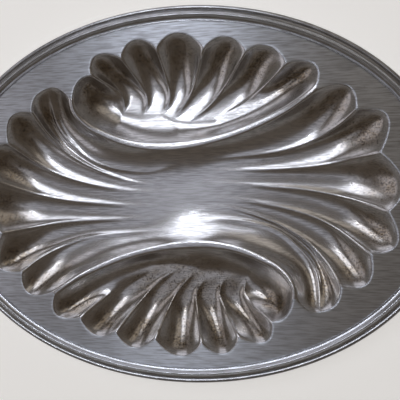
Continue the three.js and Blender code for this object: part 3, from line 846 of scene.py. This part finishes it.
# %% The dish
STEEPEST = 0.5  # upright part of the normal below which the sheet gets no deeper
DISH_SHARP = math.radians(50)  # an edge that turns more than this stays sharp
face = bpy.data.meshes.new("dish face")
face.from_pydata(points.tolist(), [], scroll_faces.tolist() + (flange_faces + len(scroll_points)).tolist())
face.attributes.new("hollowness", "FLOAT", "POINT").data.foreach_set("value", hollowness)
face.attributes.new("inside", "FLOAT", "POINT").data.foreach_set("value", inside)
corners = np.array([corner.vertex_index for corner in face.loops])
polish = face.uv_layers.new(name="polish")
polish.data.foreach_set("uv", points[corners][:, 1::-1].ravel())
dish = grown("dish", face, sheet_tree(), {
    "Thickness": SHEET, "Steepest": STEEPEST, "Finish": plate, "Flange Finish": brushed,
})
dish.data.shade_smooth()
dish.data.set_sharp_from_angle(angle=DISH_SHARP)
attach(dish, "root")
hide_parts("fluted_dish")
print("dish:", len(dish.data.polygons), "faces")

# %% [markdown]
# ## The rim
# Border, wire and solder are each one section drawn along the oval. The strips are drawn straight and
# bent in the workshop, and a sweep along a curve does the same. The border is in two lengths that meet
# at the ends of the oval, and the wire's own joint is away from them.

# %% The tree that bends a section round the oval
def strip_tree():
    inputs = {"Half Length": "Float", "Half Width": "Float", "Start": "Float", "Sweep": "Float"}
    inputs |= {"Stations": "Int", "Closed": "Bool", "Section": "Object", "Finish": "Material"}
    tree, given = new_tree("bent strip", inputs)
    arc = add_node(
        tree, "GeometryNodeCurveArc", {"mode": "RADIUS"},
        Resolution=given["Stations"], Radius=1.0, Start_Angle=given["Start"], Sweep_Angle=given["Sweep"],
    )
    size = add_node(tree, "ShaderNodeCombineXYZ", X=given["Half Length"], Y=given["Half Width"], Z=1.0)
    bent_arc = add_node(
        tree, "GeometryNodeTransform", Geometry=arc.outputs["Curve"], Scale=size.outputs[0]
    )
    ring = add_node(
        tree, "GeometryNodeSetSplineCyclic", Geometry=bent_arc.outputs["Geometry"], Cyclic=given["Closed"]
    )
    level = add_node(tree, "GeometryNodeSetCurveNormal", {"mode": "Z_UP"}, Curve=ring.outputs["Geometry"])
    length = add_node(tree, "GeometryNodeSplineParameter")
    path = tree.nodes.new("GeometryNodeCaptureAttribute")
    path.capture_items.new("FLOAT", "Along")
    tree.links.new(level.outputs["Curve"], path.inputs["Geometry"])
    tree.links.new(length.outputs["Length"], path.inputs["Along"])
    section = add_node(tree, "GeometryNodeObjectInfo", Object=given["Section"])
    swept = add_node(
        tree, "GeometryNodeCurveToMesh",
        Curve=path.outputs["Geometry"], Profile_Curve=section.outputs["Geometry"], Fill_Caps=True,
    )
    marked = add_node(
        tree, "GeometryNodeStoreNamedAttribute", {"data_type": "FLOAT", "domain": "POINT"},
        Geometry=swept.outputs["Mesh"], Name="along", Value=path.outputs["Along"],
    )
    real = add_node(tree, "GeometryNodeRealizeInstances", Geometry=marked.outputs["Geometry"])
    done = add_node(
        tree, "GeometryNodeSetMaterial", Geometry=real.outputs["Geometry"], Material=given["Finish"]
    )
    add_node(tree, "NodeGroupOutput", Geometry=done.outputs["Geometry"])
    return tree


strip = strip_tree()
print("tree:", strip.name, "with", len(strip.nodes), "nodes")

# %% A strip from its section
STRIP_SHARP = math.radians(40)


def section_curve(name, points):
    """A closed section, from points given as inset from the platter's outside and height."""
    data = bpy.data.curves.new(name, "CURVE")
    data.dimensions = "3D"
    spline = data.splines.new("POLY")
    spline.points.add(len(points) - 1)
    for point, (inset, height) in zip(spline.points, reversed(points)):
        point.co = (-inset, -height, 0, 1)
    spline.use_cyclic_u = True
    section = bpy.data.objects.new(name, data)
    bpy.context.scene.collection.objects.link(section)
    return section


def bent_strip(name, section_points, finish, stations, start, sweep, closed=False):
    section = section_curve(name + " section", section_points)
    values = {"Half Length": LENGTH / 2, "Half Width": WIDTH / 2, "Start": start, "Sweep": sweep}
    values |= {"Stations": stations, "Closed": closed, "Section": section, "Finish": finish}
    piece = grown(name, bpy.data.meshes.new(name + " path"), strip, values)
    bpy.data.objects.remove(section)
    piece.data.shade_smooth()
    piece.data.set_sharp_from_angle(angle=STRIP_SHARP)
    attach(piece, "root")
    low = [min(v.co[i] for v in piece.data.vertices) / MM for i in range(3)]
    high = [max(v.co[i] for v in piece.data.vertices) / MM for i in range(3)]
    print(f"{name}: {len(piece.data.polygons)} faces, {np.round(low, 2)} to {np.round(high, 2)} mm")
    return piece


# %% The border's two lengths
BUTT_GAP = 0.3 * MM
BORDER_INSET = 12.4 * MM
REED_INSET = 8.4 * MM
REED_HEIGHT = 3.2 * MM
BORDER_STATIONS = 240
BORDER_POINTS = 29
INNER_EDGE = 0.5 * MM


def border_section():
    """Step, slope, reed and cove as one curve. The shares give the slope and the cove their bends."""
    seat = FLANGE + FILM
    back = BEAD_DIAMETER + FILM
    reed = FLANGE + REED_HEIGHT
    step = mix(FLANGE, reed, 0.4)
    slope = REED_INSET - back
    cove = BORDER_INSET - REED_INSET
    corners = [
        (back, step),
        (back + 0.5 * slope, mix(step, reed, 0.35)), (back + 0.82 * slope, mix(step, reed, 0.88)),
        (REED_INSET, reed), (REED_INSET + 0.14 * cove, mix(seat, reed, 0.88)),
        (REED_INSET + 0.38 * cove, mix(seat, reed, 0.5)), (REED_INSET + 0.68 * cove, mix(seat, reed, 0.25)),
        (BORDER_INSET, seat + INNER_EDGE),
    ]
    top = at(curve(np.array(corners)), np.linspace(0, 1, BORDER_POINTS))
    return [(back, seat), *map(tuple, top), (BORDER_INSET, seat)]


end_turn = BUTT_GAP / 2 / (WIDTH / 2)
half_sweep = math.pi - 2 * end_turn
border_upper = bent_strip(
    "border_upper", border_section(), border_finish, BORDER_STATIONS, end_turn, half_sweep
)
border_lower = bent_strip(
    "border_lower", border_section(), border_finish, BORDER_STATIONS, math.pi + end_turn, half_sweep
)
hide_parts("border_moulding_upper")
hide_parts("border_moulding_lower")

# %% The edge wire, with its slot for the sheet
WIRE_SIDES = 28
WIRE_STATIONS = 480
WIRE_JOINT = 2 * math.pi * 44 / 80  # the angle of the butt joint
TINY_TURN = 1e-4


def wire_section():
    r = BEAD_DIAMETER / 2
    middle_height = FLANGE - SHEET / 2
    half_slot = SHEET / 2 + FILM
    mouth = math.asin(half_slot / r)
    angles = np.linspace(mouth, 2 * math.pi - mouth, WIRE_SIDES + 1)
    bottom = BEAD_DIAMETER - SLOT_DEPTH
    circle = [(r + r * math.cos(a), middle_height - r * math.sin(a)) for a in angles]
    return circle + [(bottom, middle_height + half_slot), (bottom, middle_height - half_slot)]


joint = oval(np.array([WIRE_JOINT - TINY_TURN, WIRE_JOINT + TINY_TURN]), 0)
joint_turn = BUTT_GAP / 2 / (np.linalg.norm(joint[1] - joint[0]) / (2 * TINY_TURN))
wire_sweep = 2 * math.pi - 2 * joint_turn
wire = bent_strip(
    "edge_wire", wire_section(), wire_finish, WIRE_STATIONS, WIRE_JOINT + joint_turn, wire_sweep
)
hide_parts("edge_bead")

# %% The solder in the corner under the sheet
FILLET = 1.8 * MM
SOLDER_STATIONS = 160


def solder_section():
    r = BEAD_DIAMETER / 2
    middle_height = FLANGE - SHEET / 2
    reach = r + FILM
    angle = math.pi / 4
    touch = (r + reach * math.cos(angle), middle_height - reach * math.sin(angle))
    shoulder = r + math.sqrt(reach**2 - (SHEET / 2 + FILM) ** 2) + FILM
    under = FLANGE - SHEET - FILM
    return [touch, (shoulder, under), (shoulder + FILLET, under)]


round_sweep = 2 * math.pi * (SOLDER_STATIONS - 1) / SOLDER_STATIONS
solder = bent_strip("solder", solder_section(), solder_finish, SOLDER_STATIONS, 0, round_sweep, True)
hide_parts("solder_run")

# %% [markdown]
# ## The floor
# The floor is a pale disc that turns up into a wall all round, so that no view sees past it. Its own glow
# is there only for the eye and for what the metal mirrors, and fades outwards: a bright wall would fill
# the dark flutes with light. A plain grey floor would do, but a silver platter mirrors it and turns grey.

# %% A round floor with a wall
FLOOR_RADIUS = 3.0
COVE_RADIUS = 0.6
COVE_PARTS = 8
WALL_HEIGHT = 1.8
ROUND_PARTS = 72
INNER_RADIUS = 0.5


def floor_mesh_with_cove():
    bend = np.linspace(0, np.pi / 2, COVE_PARTS + 1)
    radii = [INNER_RADIUS, *(FLOOR_RADIUS + COVE_RADIUS * np.sin(bend)), FLOOR_RADIUS + COVE_RADIUS]
    heights = [0, *(COVE_RADIUS * (1 - np.cos(bend))), WALL_HEIGHT]
    turn = np.arange(ROUND_PARTS) * 2 * np.pi / ROUND_PARTS
    rings = [[(r * np.cos(a), r * np.sin(a), h) for a in turn] for r, h in zip(radii, heights)]
    faces = [tuple(range(ROUND_PARTS))]
    for ring in range(len(radii) - 1):
        for i in range(ROUND_PARTS):
            j = (i + 1) % ROUND_PARTS
            inner, outer = ring * ROUND_PARTS, (ring + 1) * ROUND_PARTS
            faces.append((inner + i, outer + i, outer + j, inner + j))
    mesh = bpy.data.meshes.new("floor")
    mesh.from_pydata([point for ring in rings for point in ring], [], faces)
    mesh.shade_smooth()
    return mesh


floor_mesh = floor_mesh_with_cove()
floor = bpy.data.objects.new("floor", floor_mesh)
bpy.context.scene.collection.objects.link(floor)
print("floor:", len(floor_mesh.polygons), "faces")

# %% Its pale finish
GLOW = 0.55  # round the platter
WALL_GLOW = 0.05
GLOW_START = 1.0  # distances from the platter between which the glow fades
GLOW_END = 3.4


def pale_paper():
    """Matt paper, whose soft glow gives the platter a light ground and keeps its shadow."""
    material, tree, shader = new_material("pale floor")
    shader.inputs["Base Color"].default_value = linear("#e9e8e6")
    shader.inputs["Roughness"].default_value = 0.7
    shader.inputs["Emission Color"].default_value = linear("#f4f2ee")
    rays = add_node(tree, "ShaderNodeLightPath").outputs
    seen = add_node(
        tree, "ShaderNodeMath", {"operation": "ADD"},
        Value=rays["Is Camera Ray"], Value__1=rays["Is Glossy Ray"],
    )
    seen = add_node(
        tree, "ShaderNodeMath", {"operation": "ADD"},
        Value=seen.outputs[0], Value__1=rays["Is Transmission Ray"],
    )
    place = add_node(tree, "ShaderNodeTexCoord").outputs["Object"]
    away = add_node(tree, "ShaderNodeVectorMath", {"operation": "LENGTH"}, Vector=place)
    glow = add_node(
        tree, "ShaderNodeMapRange", {"interpolation_type": "SMOOTHSTEP"},
        Value=away.outputs["Value"], From_Min=GLOW_START, From_Max=GLOW_END, To_Min=GLOW, To_Max=WALL_GLOW,
    )
    strength = add_node(
        tree, "ShaderNodeMath", {"operation": "MULTIPLY"}, Value=seen.outputs[0], Value__1=glow.outputs[0]
    )
    tree.links.new(strength.outputs[0], shader.inputs["Emission Strength"])
    return material


floor_mesh.materials.append(pale_paper())
print("finish of the floor:", floor_mesh.materials[0].name)

# %% [markdown]
# ## Light
# Polished metal shows hardly more than what it mirrors, so the lamps are half the picture. They are soft
# studio panels, each placed where the flutes mirror it: the main one above and beyond the platter, others
# at both sides, far behind and overhead. Between them the surroundings are dim and warm. An even sky would
# be simpler, but it would take the light and dark out of the flutes.

# %% Lamps and world
LAMP_DISTANCE = 2.0
WORLD_STRENGTH = 0.12


def at_sky(x, y):
    """A place in the sky: 0, 0 is straight up, and a circle of 1 is the horizon."""
    down = x * x + y * y
    return Vector((2 * x, 2 * y, 1 - down)) * (LAMP_DISTANCE / (1 + down))


def lamp(name, place, width, height, power, colour):
    """A rectangle of light that faces the platter and that no view shows."""
    data = bpy.data.lights.new(name, "AREA")
    data.shape = "RECTANGLE"
    data.size = width
    data.size_y = height
    data.energy = power
    data.color = linear(colour)[:3]
    light = bpy.data.objects.new(name, data)
    bpy.context.scene.collection.objects.link(light)
    light.visible_camera = False
    light.location = place
    light.rotation_euler = (-place).to_track_quat("-Z", "Y").to_euler()
    return light


lamps = [
    lamp("main panel", at_sky(-0.1, 0.24), 0.8, 1.0, 5.0, "#f0f4ff"),
    lamp("left panel", at_sky(-0.43, 0.04), 2.0, 0.9, 3.0, "#f6f5ff"),
    lamp("far panel", at_sky(-0.2, 0.72), 1.6, 0.8, 2.3, "#f4f4ff"),
    lamp("right panel", at_sky(0.16, 0.34), 0.9, 0.9, 0.9, "#fff6ea"),
    lamp("overhead panel", at_sky(-0.09, -0.05), 0.7, 0.9, 0.7, "#e6edff"),
    lamp("small lamp", at_sky(-0.09, 0.1), 0.08, 0.12, 0.6, "#f2f6ff"),
]
world = bpy.data.worlds.new("surroundings")
world.use_nodes = True
background = world.node_tree.nodes["Background"].inputs
background["Color"].default_value = linear("#e6d3c0")
background["Strength"].default_value = WORLD_STRENGTH
bpy.context.scene.world = world
print("lamps:", ", ".join(light.name for light in lamps))

# %% [markdown]
# ## Camera
# The camera looks down on the platter, a little to the right of its middle. Place and directions come
# from the scroll: both of its halves have to agree after a half turn.

# %% Camera
SENSOR = 36.0
PICTURE_WIDTH = 400  # pixels
FOCAL_PIXELS = 415
CAMERA_PLACE = Vector((0.0619, 0.0026, 0.3466))
CAMERA_FORWARD = Vector((-0.13689, -0.01900, -0.99040))
CAMERA_UP = Vector((-0.00022, 0.99982, -0.01915))

camera_data = bpy.data.cameras.new("camera")
camera_data.sensor_width = SENSOR
camera_data.lens = SENSOR * FOCAL_PIXELS / PICTURE_WIDTH
camera = bpy.data.objects.new("camera", camera_data)
bpy.context.scene.collection.objects.link(camera)
back = -CAMERA_FORWARD.normalized()
right = CAMERA_UP.cross(back).normalized()
up = back.cross(right)
camera.matrix_world = Matrix.Translation(CAMERA_PLACE) @ Matrix((right, up, back)).transposed().to_4x4()
bpy.context.scene.camera = camera
bpy.context.scene.view_settings.view_transform = "Standard"
print(f"camera: {camera.location.length / MM:.0f} mm from the middle, lens {camera_data.lens:.1f} mm")
